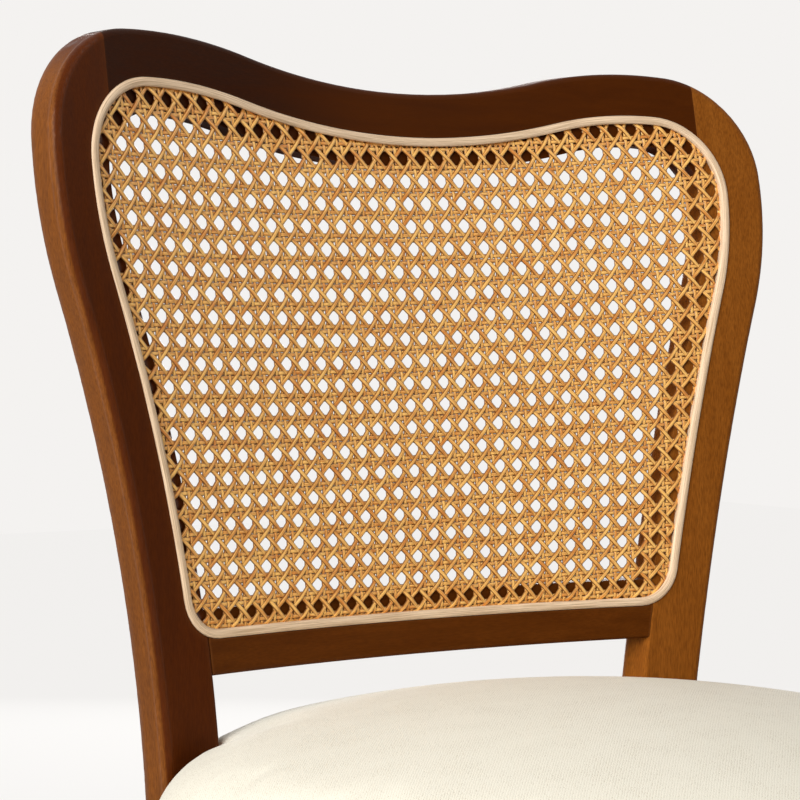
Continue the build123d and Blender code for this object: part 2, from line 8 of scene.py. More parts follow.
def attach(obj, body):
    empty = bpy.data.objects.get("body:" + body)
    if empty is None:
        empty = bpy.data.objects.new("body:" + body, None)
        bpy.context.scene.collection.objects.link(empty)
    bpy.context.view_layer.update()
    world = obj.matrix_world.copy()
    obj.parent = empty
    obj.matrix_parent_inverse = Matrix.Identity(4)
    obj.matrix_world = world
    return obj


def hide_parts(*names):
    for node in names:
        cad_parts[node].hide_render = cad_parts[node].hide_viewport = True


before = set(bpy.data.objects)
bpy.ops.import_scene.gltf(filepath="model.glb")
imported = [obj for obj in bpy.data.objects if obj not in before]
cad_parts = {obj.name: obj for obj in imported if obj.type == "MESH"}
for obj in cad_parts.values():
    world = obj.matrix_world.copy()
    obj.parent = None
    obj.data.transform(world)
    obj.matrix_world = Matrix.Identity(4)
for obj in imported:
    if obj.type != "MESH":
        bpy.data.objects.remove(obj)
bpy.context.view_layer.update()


# Back posts: sawn from beech plank, bent outline cut on the band saw, stained dark brown and lacquered.
# The stain takes darker in the open pores, and the lacquer wears paler along the arrises. The left post's
# sides and the whole right post are coloured lighter than the left post's front and back. This is painted
# light of the lamp on the left.
def set_inputs(tree, node, inputs):
    """Links each input of a node from a socket, or sets it to a value."""
    for key, value in inputs.items():
        if isinstance(value, bpy.types.NodeSocket):
            tree.links.new(value, node.inputs[key])
        else:
            node.inputs[key].default_value = value


def add_node(tree, kind, inputs=None, **settings):
    """One shader node with its settings and its inputs."""
    node = tree.nodes.new(kind)
    for key, value in settings.items():
        setattr(node, key, value)
    set_inputs(tree, node, inputs or {})
    return node


def add_math(tree, operation, *terms):
    """Result of one sum on sockets and plain numbers."""
    return add_node(tree, "ShaderNodeMath", dict(enumerate(terms)), operation=operation).outputs[0]


def add_range(tree, source, low, high, to_low=0.0, to_high=1.0, shape="LINEAR"):
    """Carries the range from low to high over to another range, and holds what lies beyond at its ends."""
    inputs = {"Value": source, "From Min": low, "From Max": high, "To Min": to_low, "To Max": to_high}
    return add_node(tree, "ShaderNodeMapRange", inputs, interpolation_type=shape).outputs["Result"]


def add_noise(tree, place, scale, detail, roughness=0.5, distortion=0.0, dimensions="3D"):
    """Cloudy pattern between 0 and 1."""
    inputs = {"Vector": place, "Scale": scale, "Detail": detail, "Roughness": roughness,
              "Distortion": distortion}
    return add_node(tree, "ShaderNodeTexNoise", inputs, noise_dimensions=dimensions).outputs["Fac"]


def own_place(tree):
    """Where a point lies on its own piece."""
    return add_node(tree, "ShaderNodeTexCoord").outputs["Object"]


def true_normal(tree):
    """The way that the mesh faces."""
    return add_node(tree, "ShaderNodeNewGeometry").outputs["Normal"]


def axis_part(tree, vector, axis):
    """One component of a vector."""
    return add_node(tree, "ShaderNodeSeparateXYZ", {0: vector}).outputs[axis]


def stretch(tree, place, factors):
    """Place scaled by its own factor along each axis."""
    return add_node(tree, "ShaderNodeVectorMath", {0: place, 1: factors}, operation="MULTIPLY").outputs[0]


def mix_colours(tree, share, first, second):
    """Colour that goes from the first to the second as the share goes from 0 to 1."""
    mixed = add_node(tree, "ShaderNodeMix", {"Factor": share, "A": first, "B": second}, data_type="RGBA")
    return mixed.outputs["Result"]


def tone_ramp(tree, source, low, high, dark, light):
    """Colours from dark to light as a factor goes from low to high."""
    ramp = add_node(tree, "ShaderNodeValToRGB", {"Fac": source})
    for element, position, colour in zip(ramp.color_ramp.elements, (low, high), (dark, light)):
        element.position = position
        element.color = colour
    return ramp.outputs["Color"]


def add_relief(tree, height, strength, distance):
    """Normal of a surface with a fine relief."""
    bump = add_node(tree, "ShaderNodeBump", {"Height": height, "Strength": strength, "Distance": distance})
    return bump.outputs["Normal"]


def new_group(name, inputs, outputs):
    """Empty shader node group with named sockets."""
    group = bpy.data.node_groups.new(name, "ShaderNodeTree")
    for title, kind, value in inputs:
        socket = group.interface.new_socket(name=title, in_out="INPUT", socket_type=kind)
        socket.default_value = value
    for title, kind in outputs:
        group.interface.new_socket(name=title, in_out="OUTPUT", socket_type=kind)
    entry = group.nodes.new("NodeGroupInput")
    leave = group.nodes.new("NodeGroupOutput")
    return group, entry.outputs, leave


def stained_grain_group():
    """Stained close-grained hardwood: long streaks, short pores and broad changes of tone."""
    group, given, leave = new_group("Stained grain", [
        ("Place", "NodeSocketVector", (0, 0, 0)),
        ("Streaks", "NodeSocketVector", (60, 60, 4)),
        ("Dark", "NodeSocketColor", (0.02, 0.005, 0.001, 1)),
        ("Middle", "NodeSocketColor", (0.06, 0.018, 0.005, 1)),
        ("Light", "NodeSocketColor", (0.11, 0.036, 0.01, 1)),
        ("Pores", "NodeSocketFloat", 0.6),
    ], [("Color", "NodeSocketColor"), ("Roughness", "NodeSocketFloat"), ("Height", "NodeSocketFloat")])
    along = stretch(group, given["Place"], given["Streaks"])
    streaks = add_noise(group, along, 1.0, 5.0, 0.62, 0.35)
    thin = add_node(group, "ShaderNodeVectorMath", {0: along, "Scale": 10.0}, operation="SCALE")
    fine = add_node(group, "ShaderNodeVectorMath", {0: given["Place"], 1: (90, 90, 90), 2: thin.outputs[0]},
                    operation="MULTIPLY_ADD")
    pores = add_noise(group, fine.outputs[0], 1.0, 2.0)
    broad = add_noise(group, given["Place"], 9.0, 2.0)
    tone = add_math(group, "MULTIPLY_ADD", broad, 0.35, streaks)
    low = tone_ramp(group, tone, 0.45, 0.95, (0, 0, 0, 1), (1, 1, 1, 1))
    base = mix_colours(group, low, given["Middle"], given["Light"])
    pore_mask = tone_ramp(group, pores, 0.3, 0.62, (1, 1, 1, 1), (0, 0, 0, 1))
    pore_share = add_math(group, "MULTIPLY", pore_mask, given["Pores"])
    set_inputs(group, leave, {"Color": mix_colours(group, pore_share, base, given["Dark"]),
                              "Roughness": add_range(group, streaks, 0.3, 0.7, 0.42, 0.56),
                              "Height": pores})
    return group


def arris_wear_group():
    """Arrises rubbed round: where they are, how worn they look, broken up by noise, and how they face."""
    group, given, leave = new_group("Arris wear", [
        ("Width", "NodeSocketFloat", 0.002),
        ("Worn", "NodeSocketFloat", 1.0),
        ("Patchiness", "NodeSocketFloat", 40.0),
    ], [("Wear", "NodeSocketFloat"), ("Arris", "NodeSocketFloat"), ("Normal", "NodeSocketVector")])
    rounded = add_node(group, "ShaderNodeBevel", {"Radius": given["Width"]}, samples=8).outputs["Normal"]
    same = add_node(group, "ShaderNodeVectorMath", {0: rounded, 1: true_normal(group)},
                    operation="DOT_PRODUCT")
    patches = add_noise(group, own_place(group), given["Patchiness"], 3.0)
    edge = add_range(group, same.outputs["Value"], 0.998, 0.94)
    wear = add_math(group, "MULTIPLY", add_math(group, "MULTIPLY", edge, patches), given["Worn"])
    set_inputs(group, leave, {"Wear": wear, "Arris": edge, "Normal": rounded})
    return group


stained_grain = stained_grain_group()
arris_wear = arris_wear_group()
worn_lacquer = (0.2, 0.07, 0.02, 1)


def new_material(name):
    """Material with its node tree and its surface shader."""
    material = bpy.data.materials.new(name)
    material.use_nodes = True
    return material, material.node_tree, material.node_tree.nodes["Principled BSDF"]


def wood_finish(name, streaks, dark, middle, light, shift=0.0, pores=0.6, worn=0.6):
    """Close-grained wood, stained or bare, its grain the way that streaks says, more matt underneath."""
    material, tree, shader = new_material(name)
    moved = add_node(tree, "ShaderNodeVectorMath", {0: own_place(tree), 1: (shift, shift * 0.7, shift * 1.3)},
                     operation="ADD")
    grain = add_node(tree, "ShaderNodeGroup", {"Place": moved.outputs[0], "Streaks": streaks, "Dark": dark,
                                               "Middle": middle, "Light": light, "Pores": pores},
                     node_tree=stained_grain).outputs
    wear = add_node(tree, "ShaderNodeGroup", {"Worn": worn}, node_tree=arris_wear)
    under = add_range(tree, axis_part(tree, true_normal(tree), "Z"), -0.6, -0.9, 0.0, 0.5)
    set_inputs(tree, shader, {
        "Base Color": mix_colours(tree, wear.outputs["Wear"], grain["Color"], worn_lacquer),
        "Roughness": add_math(tree, "ADD", under, grain["Roughness"]),
        "Normal": add_relief(tree, grain["Height"], 0.1, 0.0003),
        "Specular IOR Level": 0.08, "Specular Tint": (0.8, 0.45, 0.18, 1)})
    return material


def find_group(material, group):
    """The node that puts a group into a material."""
    return next(node for node in material.node_tree.nodes if node.type == "GROUP" and node.node_tree == group)


def blend_painted_light_and_shade(material, mask, middle, light):
    """Paints light and shade into the wood's colour: another tone where the mask is 1."""
    tree = material.node_tree
    grain = find_group(material, stained_grain)
    for socket, tone in (("Middle", middle), ("Light", light)):
        face = tuple(grain.inputs[socket].default_value)
        set_inputs(tree, grain, {socket: mix_colours(tree, mask, face, tone)})


def painted_side_light_mask(material):
    """1 on the sides of an upright plank, which face left or right, and 0 on its faces; it marks where
    painted light lightens the sides.
    """
    tree = material.node_tree
    sideways = add_math(tree, "ABSOLUTE", axis_part(tree, true_normal(tree), "X"))
    return add_range(tree, sideways, 0.55, 0.85)


def soften_outer_arris(material, width):
    """The arris that faces out to the left is sanded round, and the lacquer on it catches the light."""
    tree = material.node_tree
    wear = find_group(material, arris_wear)
    wear.inputs["Width"].default_value = width
    outer = add_range(tree, axis_part(tree, wear.outputs["Normal"], "X"), 0.1, -0.15)
    first_vector, second_vector, mixed_vector = 4, 5, 1
    turned = add_node(tree, "ShaderNodeMix", {"Factor": outer, first_vector: true_normal(tree),
                                              second_vector: wear.outputs["Normal"]}, data_type="VECTOR")
    bump = next(node for node in tree.nodes if node.type == "BUMP")
    set_inputs(tree, bump, {"Normal": turned.outputs[mixed_vector]})
    set_inputs(tree, tree.nodes["Principled BSDF"], {
        "Coat Weight": add_math(tree, "MULTIPLY", outer, wear.outputs["Arris"]), "Coat Roughness": 0.22})


def dress(node, material):
    """Gives a CAD node its finish."""
    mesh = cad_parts[node].data
    mesh.materials.clear()
    mesh.materials.append(material)


upright_streaks = (150, 150, 9)
level_streaks = (9, 150, 150)
dark_pore = (0.07, 0.016, 0.002, 1)
left_post_beech = wood_finish("Left post beech", upright_streaks, (0.035, 0.006, 0.0006, 1),
                              (0.066, 0.0125, 0.0012, 1), (0.095, 0.019, 0.002, 1),
                              shift=0.3, pores=0.5, worn=0.2)
# Painted light: the left post's sides, which face the lamp on the left, are coloured lighter than its front
# and back faces.
blend_painted_light_and_shade(left_post_beech, painted_side_light_mask(left_post_beech),
            (0.155, 0.047, 0.0065, 1), (0.23, 0.073, 0.0125, 1))
soften_outer_arris(left_post_beech, 0.008)
dress("left_back_post", left_post_beech)
# Painted light: the right post, whose front faces the lamp on the left, is coloured lighter than the left
# post's front.
dress("right_back_post", wood_finish("Right post beech", upright_streaks, dark_pore,
                                     (0.236, 0.071, 0.0078, 1), (0.31, 0.1, 0.0125, 1),
                                     shift=1.1, pores=0.5, worn=0.5))

# Crest rail: one bow-sawn piece with the two ears' inner halves, butted against the posts with dowels.
# Its grain runs level, so it takes the stain darker than the posts. Its left half, which faces away from the
# lamp on the left, is coloured darker still as painted shade.
crest_beech = wood_finish("Crest beech", level_streaks, (0.045, 0.009, 0.0006, 1),
                          (0.05, 0.01, 0.0005, 1), (0.072, 0.0155, 0.001, 1),
                          shift=2.3, pores=0.3, worn=0.1)


def painted_shade_left_half_mask(material):
    """Painted shade: 1 in the left half of the crest and 0 in its right half, with a slow change between."""
    tree = material.node_tree
    return add_range(tree, axis_part(tree, own_place(tree), "X"), 0.0, -0.13, shape="SMOOTHSTEP")


# Painted shade: the crest's left half is coloured darker.
blend_painted_light_and_shade(crest_beech, painted_shade_left_half_mask(crest_beech), (0.016, 0.0025, 0.0002, 1), (0.026, 0.0045, 0.0003, 1))
dress("crest_rail", crest_beech)

# Lower back rail: beech, thinner than the posts, tenoned between them, and grooved for the reed.
# It closes the opening of the panel, and a hand's gap stays free between it and the seat.
dress("lower_back_rail", wood_finish("Lower rail beech", level_streaks, (0.05, 0.012, 0.001, 1),
                                     (0.08, 0.019, 0.0016, 1), (0.125, 0.033, 0.0035, 1),
                                     shift=3.7, pores=0.4))

# Crest dowels: two turned pins of bare beech in each crest joint, glued into both its sides.
# They pin the crest's ends to the posts, and the closed joints hide them.
dress("crest_dowels", wood_finish("Bare beech", level_streaks, (0.3, 0.2, 0.11, 1),
                                  (0.46, 0.32, 0.18, 1), (0.55, 0.4, 0.24, 1), shift=4.0))

# Cane panel: half-inch rattan webbing, soaked, laid over the ledge and driven into the groove all round.
# Pairs of uprights and levels weave through one another, and two directions of diagonals lie over them.
# It was pulled a little askew as it was driven in, so its rows don't run quite level.
panel_height = 0.665
seat_axis_to_back = 0.1626
plan_radius = 0.869
side_radius = 1.935
panel_rake = math.radians(7.02)
upright_height = panel_height - side_radius * math.sin(panel_rake)
crest_dip = 0.1535
crest_ear = 0.175
dip_radius = 0.443
crown_radius = 0.278
ear_half_width = 0.254
ear_widest = 0.103
cheek_radius = 0.227
waist_radius = 1.259
post_half_span = 0.1847
face_margin = 0.0255
reed_width = 0.005
reed_ear_radius = 0.047
reed_corner_radius = 0.026
reed_bottom = 0.149
mesh_pitch = 0.0127
cells_across = 20
cells_down = 14
steps_per_cell = 8
upright_spacing = 0.0031
level_spacing = 0.0027
strand_width = 0.0026
diagonal_width = 0.0028
strand_thickness = 0.0008
strand_swell = 0.1
strand_wander = 0.00022
crossing_reach = 0.0013
diagonal_lift = 0.62
diagonal_swing = 0.45
cane_depth = 0.0012
cane_dip = 0.0022
cane_dip_reach = 0.0055
rim_step = 0.003
# Painted shade: how dark each point of a strand's section is coloured, darkest at its edges, where the
# strands meet.
painted_edge_shade = (1.0, 0.85, 0.0, 0.0, 0.85, 1.0, 0.3, 0.3)
golden_share = 0.618034
bark_unrolled = 0.006
bark_spacing = 0.013


def on_back(x, z, depth):
    """Point of the bent back at one place of the front elevation, and the direction straight out of it."""
    turn = x / math.sqrt((plan_radius + depth) ** 2 - x ** 2)
    section = math.sqrt((plan_radius + depth) ** 2 - x ** 2) - plan_radius
    rise = panel_height + z - upright_height
    reach = side_radius - section
    y = side_radius - math.sqrt(reach ** 2 - rise ** 2)
    slope = rise / (side_radius - y)
    out = Vector((turn, 1.0, -slope)).normalized()
    return Vector((x, y + seat_axis_to_back, panel_height + z)), out


def arc_points(centre, radius, start, end, step):
    """Points along an arc, from one angle to another."""
    count = max(2, int(abs(end - start) * radius / step))
    return [(centre[0] + radius * math.cos(start + (end - start) * i / count),
             centre[1] + radius * math.sin(start + (end - start) * i / count)) for i in range(count)]


def panel_outline(inset, step):
    """Closed outline in front elevation at one distance inside the frame's outer edge, as the reed runs."""
    grow = inset - face_margin
    rise = math.acos(1 - (crest_ear - crest_dip) / (dip_radius + crown_radius))
    lean = math.acos(1 - (ear_half_width - post_half_span) / (cheek_radius + waist_radius))
    dip = (0.0, crest_dip + dip_radius)
    crown = (math.sin(rise) * (dip_radius + crown_radius),
             dip[1] - math.cos(rise) * (dip_radius + crown_radius))
    cheek = (ear_half_width - cheek_radius, ear_widest)
    waist = (cheek[0] + math.cos(lean) * (cheek_radius + waist_radius),
             cheek[1] - math.sin(lean) * (cheek_radius + waist_radius))
    radius = reed_ear_radius - grow
    near_crown, near_cheek = crown_radius - inset - radius, cheek_radius - inset - radius
    dx, dz = cheek[0] - crown[0], cheek[1] - crown[1]
    span = math.hypot(dx, dz)
    along = (near_crown ** 2 - near_cheek ** 2 + span ** 2) / (2 * span)
    aside = math.sqrt(near_crown ** 2 - along ** 2)
    ear = (crown[0] + dx / span * along + dz / span * aside,
           crown[1] + dz / span * along - dx / span * aside)
    crown_end = math.atan2(ear[1] - crown[1], ear[0] - crown[0])
    cheek_start = math.atan2(ear[1] - cheek[1], ear[0] - cheek[0])
    floor = grow - reed_bottom
    corner = reed_corner_radius - grow
    wide = waist_radius + inset
    corner_z = floor + corner
    corner_x = waist[0] - math.sqrt((wide + corner) ** 2 - (corner_z - waist[1]) ** 2)
    corner_turn = math.atan2(corner_z - waist[1], corner_x - waist[0])
    if corner_turn < 0:
        corner_turn += 2 * math.pi
    half = arc_points(dip, dip_radius + inset, -math.pi / 2, -math.pi / 2 + rise, step)
    half += arc_points(crown, crown_radius - inset, math.pi / 2 + rise, crown_end, step)
    half += arc_points(ear, radius, crown_end, cheek_start, step)
    half += arc_points(cheek, cheek_radius - inset, cheek_start, -lean, step)
    half += arc_points(waist, wide, math.pi - lean, corner_turn, step)
    half += arc_points((corner_x, corner_z), corner, corner_turn - math.pi, -math.pi / 2, step)
    count = int(corner_x / step)
    half += [(corner_x * (1 - i / count), floor) for i in range(count + 1)]
    return half + [(-x, z) for x, z in reversed(half[1:-1])]


def is_inside(outline, x, z):
    """Whether a place of the front elevation lies inside a closed outline."""
    found = False
    for (x1, z1), (x2, z2) in zip(outline, outline[1:] + outline[:1]):
        if (z1 > z) != (z2 > z) and x < x1 + (z - z1) * (x2 - x1) / (z2 - z1):
            found = not found
    return found


def mesh_place(column, row):
    """Front elevation of one place of the webbing, counted in cells from its middle, pulled askew."""
    along = mesh_pitch * (0.316 + 0.9941 * column - 0.0254 * row
                          + 0.0002 * column ** 2 + 0.00284 * column * row - 0.0015 * row ** 2)
    up = mesh_pitch * (-0.1055 + 0.0286 * column + 1.0051 * row
                       + 0.00069 * column ** 2 + 0.00204 * column * row + 0.00293 * row ** 2)
    sag = plan_radius * (1 - math.cos(along / plan_radius))
    level = ((side_radius + sag) * math.sin(panel_rake + up / side_radius)
             - side_radius * math.sin(panel_rake))
    return plan_radius * math.sin(along / plan_radius), level


def pair_lift(side, spacing, count):
    """How far forward one strand of a pair lies as it crosses the other pairs: over one, under the next."""
    offset = (count - math.floor(count) - 0.5) * mesh_pitch
    half = spacing / 2
    return side * (math.exp(-((offset + half) / crossing_reach) ** 2)
                   - math.exp(-((offset - half) / crossing_reach) ** 2))


def strand_section(width):
    """Cross-section of split cane: rounded bark side forward, flat pith side behind."""
    half, thick = width / 2, strand_thickness
    return [(-half, 0.15 * thick), (-0.72 * half, -0.28 * thick), (-0.34 * half, -0.52 * thick),
            (0.34 * half, -0.52 * thick), (0.72 * half, -0.28 * thick), (half, 0.15 * thick),
            (0.75 * half, 0.45 * thick), (-0.75 * half, 0.45 * thick)]


def lay_strand(build, layers, path, width, number):
    """Sweeps one strand of cane along points (x, z, lift) of the front elevation."""
    section = strand_section(width)
    tone = number * golden_share % 1.0
    rings = []
    for index, (x, z, lift) in enumerate(path):
        before, after = path[max(index - 1, 0)], path[min(index + 1, len(path) - 1)]
        point, out = on_back(x, z, cane_depth - lift)
        ahead = (on_back(after[0], after[1], cane_depth - after[2])[0]
                 - on_back(before[0], before[1], cane_depth - before[2])[0]).normalized()
        across = ahead.cross(out).normalized()
        back = across.cross(ahead).normalized()
        swell = 1 + strand_swell * noise.noise((number * 3.1, index * 0.21, 0.0))
        rings.append([build.verts.new(point + across * u * swell + back * v) for u, v in section])
    length = 0.0
    for index in range(len(rings) - 1):
        step = (rings[index + 1][0].co - rings[index][0].co).length
        for corner in range(len(section)):
            following = (corner + 1) % len(section)
            face = build.faces.new((rings[index][corner], rings[index + 1][corner],
                                    rings[index + 1][following], rings[index][following]))
            face.smooth = True
            ends = ((corner, length), (corner, length + step),
                    (corner + 1, length + step), (corner + 1, length))
            for loop, (across_step, along) in zip(face.loops, ends):
                unrolled = across_step / len(section) * bark_unrolled + number * bark_spacing
                loop[layers["uv"]].uv = (unrolled, along)
                # The tone layer carries each strand's own tone, and the painted shade along its edges.
                loop[layers["tone"]] = (tone, painted_edge_shade[across_step % len(section)], 0, 1)
        length += step
    build.faces.new(rings[0])
    build.faces.new(list(reversed(rings[-1])))


def strand_runs(outline, rim, places, number):
    """Splits a strand's places into the runs inside the outline, and sinks their ends into the groove."""
    runs, run = [], []
    for column, row, lift in places:
        x, z = mesh_place(column, row)
        x += strand_wander * noise.noise((column * 1.3, row * 1.3, number * 0.7))
        z += strand_wander * noise.noise((row * 1.3, number * 0.9, column * 1.3))
        if is_inside(outline, x, z):
            near = 1 - min(rim.find((x, z, 0))[2] / cane_dip_reach, 1.0)
            run.append((x, z, lift * (1 - near) - cane_dip * near * near * (3 - 2 * near)))
        elif run:
            runs.append(run)
            run = []
    runs.append(run)
    return [run for run in runs if len(run) > 2]


def strand_routes():
    """Every strand of the webbing: its width and its places (column, row, lift)."""
    rise = strand_thickness * 0.5
    upright = upright_spacing / mesh_pitch / 2
    level = level_spacing / mesh_pitch / 2
    down, along = ([i / steps_per_cell for i in range(-cells * steps_per_cell, cells * steps_per_cell)]
                   for cells in (cells_down, cells_across))
    for column in range(-cells_across, cells_across):
        for side in (-1, 1):
            yield strand_width, [(column + 0.5 + side * upright, row,
                                  rise * pair_lift(side, level_spacing, row)) for row in down]
    for row in range(-cells_down, cells_down):
        for side in (-1, 1):
            yield strand_width, [(column, row + 0.5 + side * level,
                                  -rise * pair_lift(side, upright_spacing, column)) for column in along]
    for lean in (-1, 1):
        for line in range(-cells_across - cells_down, cells_across + cells_down):
            yield diagonal_width, [
                (column, lean * (column - line - 0.5),
                 strand_thickness * (diagonal_lift + diagonal_swing * lean * math.cos(2 * math.pi * column)))
                for column in along]


def new_piece(name, build, turn_outward=True):
    """Makes an object of its own from a built mesh."""
    if turn_outward:
        bmesh.ops.recalc_face_normals(build, faces=build.faces)
    mesh = bpy.data.meshes.new(name)
    build.to_mesh(mesh)
    build.free()
    piece = bpy.data.objects.new(name, mesh)
    bpy.context.scene.collection.objects.link(piece)
    return piece


def weave_cane():
    """All the strands of the webbing as one mesh."""
    outline = panel_outline(face_margin + reed_width * 0.5, rim_step)
    rim = kdtree.KDTree(len(outline))
    for index, (x, z) in enumerate(outline):
        rim.insert((x, z, 0), index)
    rim.balance()
    build = bmesh.new()
    layers = {"uv": build.loops.layers.uv.new("Strand"), "tone": build.loops.layers.color.new("Tone")}
    number = 0
    for width, places in strand_routes():
        for run in strand_runs(outline, rim, places, number):
            lay_strand(build, layers, run, width, number)
            number += 1
    return new_piece("cane_webbing", build, turn_outward=False)


def natural_cane(name):
    """Golden rattan bark: fine streaks along each strand and a tone of its own per strand. It also has
    painted shade along its edges, where the strands meet and shade one another.
    """
    material, tree, shader = new_material(name)
    strand = add_node(tree, "ShaderNodeUVMap", uv_map="Strand").outputs["UV"]
    streaks = add_noise(tree, stretch(tree, strand, (2600, 55, 1)), 1.0, 3.0, dimensions="2D")
    blotches = add_noise(tree, strand, 90.0, 3.0, dimensions="2D")
    data = add_node(tree, "ShaderNodeVertexColor", layer_name="Tone")
    split = add_node(tree, "ShaderNodeSeparateColor", {"Color": data.outputs["Color"]}).outputs
    own = add_math(tree, "MULTIPLY_ADD", split["Red"], 0.12, streaks)
    both = add_math(tree, "MULTIPLY_ADD", blotches, 0.7, own)
    bark = tone_ramp(tree, both, 0.7, 1.0, (0.64, 0.21, 0.024, 1), (1.0, 0.57, 0.15, 1))
    # Painted shade: the strand's edges are coloured dark brown, where the strands shade one another.
    edge = add_range(tree, split["Green"], 0.25, 0.85, 0.0, 0.92)
    set_inputs(tree, shader, {"Base Color": mix_colours(tree, edge, bark, (0.11, 0.027, 0.002, 1)),
                              "Normal": add_relief(tree, streaks, 0.35, 0.0002), "Roughness": 0.29,
                              "Specular IOR Level": 0.65, "Specular Tint": (1.0, 0.9, 0.72, 1)})
    return material


cane_webbing = weave_cane()
cane_webbing.data.materials.append(natural_cane("Rattan cane"))
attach(cane_webbing, "root")
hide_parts("cane_panel")

# Reed: split rattan core, soaked and tapped into the groove over the edge of the cane.
# It swells as it dries and stands a little proud, with its long fibres showing.
reed_crown = 0.0014
reed_spring = 0.0002
reed_shoulder = 0.0004
reed_fullness = 0.75
reed_facets = 10
reed_foot = 0.0055
reed_gap = 0.0002
reed_lap = 0.0005
reed_lap_foot = 0.0014
reed_facet_unrolled = 0.0008
reed_step = 0.004


def reed_section():
    """Section of the reed: a rounded top that laps over the cane, on a tongue that stands in the groove."""
    half = reed_width / 2 - reed_gap
    lap = half + reed_lap
    section = [(-half, reed_foot), (-half, reed_shoulder)]
    for i in range(1, reed_facets):
        turn = math.pi * i / reed_facets
        section.append((0.5 * (lap - half) - 0.5 * (lap + half) * math.cos(turn),
                        reed_spring - (reed_crown + reed_spring) * math.sin(turn) ** reed_fullness))
    return section + [(lap, reed_shoulder), (half, reed_lap_foot), (half, reed_foot)]


def bend_reed():
    """Sweeps the reed's section round the panel."""
    build = bmesh.new()
    layer = build.loops.layers.uv.new("Strand")
    section = reed_section()
    middle = panel_outline(face_margin + reed_width / 2, reed_step)
    rings = []
    for index, (x, z) in enumerate(middle):
        before, after = middle[index - 1], middle[(index + 1) % len(middle)]
        ahead = Vector((after[0] - before[0], after[1] - before[1])).normalized()
        inward = Vector((ahead.y, -ahead.x))
        rings.append([build.verts.new(on_back(x + inward.x * u, z + inward.y * u, depth)[0])
                      for u, depth in section])
    length = 0.0
    for index, ring in enumerate(rings):
        following = rings[(index + 1) % len(rings)]
        step = (following[0].co - ring[0].co).length
        for corner in range(len(section)):
            other = (corner + 1) % len(section)
            face = build.faces.new((ring[corner], ring[other], following[other], following[corner]))
            face.smooth = True
            ends = ((corner, length), (corner + 1, length),
                    (corner + 1, length + step), (corner, length + step))
            for loop, (across_step, along) in zip(face.loops, ends):
                loop[layer].uv = (across_step * reed_facet_unrolled, along)
        length += step
    return new_piece("reed_spline", build)


def rattan_core(name):
    """Pale rattan core with long fibres."""
    material, tree, shader = new_material(name)
    strand = add_node(tree, "ShaderNodeUVMap", uv_map="Strand").outputs["UV"]
    fibres = add_noise(tree, stretch(tree, strand, (2200, 30, 1)), 1.0, 4.0, 0.6, dimensions="2D")
    core = tone_ramp(tree, fibres, 0.32, 0.62, (0.52, 0.35, 0.2, 1), (0.93, 0.7, 0.48, 1))
    set_inputs(tree, shader, {"Base Color": core, "Normal": add_relief(tree, fibres, 0.4, 0.0003),
                              "Roughness": 0.6})
    return material


reed_spline = bend_reed()
reed_spline.data.materials.append(rattan_core("Rattan core"))
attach(reed_spline, "root")
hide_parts("cane_reed")

# Seat ring: four bent beech rails, tenoned into the front legs and into the posts.
# They are finished as the posts, with the grain running round the seat.
inward_streaks = (150, 9, 150)
rail_middle = (0.13, 0.034, 0.0045, 1)
rail_light = (0.18, 0.052, 0.008, 1)
for side, streaks, shift in (("front", level_streaks, 5.1), ("left", inward_streaks, 6.1),
                             ("right", inward_streaks, 7.1), ("rear", level_streaks, 8.1)):
    dress(side + "_seat_rail", wood_finish(side.capitalize() + " rail beech", streaks, dark_pore,
                                           rail_middle, rail_light, shift))

# Front legs: beech, tapered from square stock, with a block that stands between the rails.
# They are finished as the seat ring, with the grain running down them.
for side, shift in (("left", 9.1), ("right", 10.1)):
    dress(side + "_front_leg", wood_finish(side.capitalize() + " leg beech", upright_streaks, dark_pore,
                                           rail_middle, rail_light, shift))

# Corner blocks: bare sawn hardwood, glued and screwed inside the ring at each leg.
# They brace the ring's joints and carry the screws of the seat board.
sawn_streaks = (90, 90, 14)
for corner in ("left_front", "right_front", "left_rear", "right_rear"):
    dress(corner + "_corner_block", wood_finish(
        corner.replace("_", " ").capitalize() + " block wood", sawn_streaks, (0.26, 0.15, 0.07, 1),
        (0.42, 0.27, 0.14, 1), (0.52, 0.36, 0.2, 1), 11.0 + len(corner)))


# Screws: zinc-plated steel, two through each corner block into the rails and one up into the seat board.
# The plating is yellowish, with faint stains.
def plated_steel(name):
    """Zinc plate on steel."""
    material, tree, shader = new_material(name)
    stains = add_noise(tree, own_place(tree), 700.0, 3.0)
    plate = tone_ramp(tree, stains, 0.35, 0.65, (0.42, 0.38, 0.3, 1), (0.62, 0.6, 0.55, 1))
    set_inputs(tree, shader, {"Base Color": plate, "Metallic": 1.0,
                              "Roughness": add_range(tree, stains, 0.0, 1.0, 0.25, 0.45)})
    return material


zinc = plated_steel("Zinc plate")
dress("corner_block_screws", zinc)
dress("seat_screws", zinc)

# Seat board: bare birch plywood cut round, screwed down on the corner blocks.
# It carries the foam and is hidden between the cover and the dust cloth.
ply_layers = (40, 40, 500)
dress("seat_board", wood_finish("Plywood", ply_layers, (0.3, 0.19, 0.1, 1),
                                (0.5, 0.36, 0.2, 1), (0.58, 0.44, 0.27, 1), shift=12.0))

# Seat cushion: foam on the board under one piece of ivory twill, pulled down over the sides,
# notched round the posts and stapled underneath. The foam crowns and rolls over at the edge.
pad_radius = 0.248
pad_bottom = 0.4002
pad_top = 0.4932
pad_crown = 0.0395
pad_turns = 96
cover_skin = 0.0016
roll_radius = 0.0496
roll_steps = 14
dome_steps = 24
side_steps = 4
draw_in = 0.004
hem_inset = 0.004
hem_rise = 0.003
post_front = 0.1395
post_inner_low = 0.1453
post_inner_high = 0.1545
notch_reach = 0.4
notch_low = 0.39
notch_high = 0.51
cover_voxel = 0.005
cover_pressure = 4.0
cover_frames = 20
cover_held_height = 0.006
cover_most_move = 0.002
cover_most_reach = 0.2495


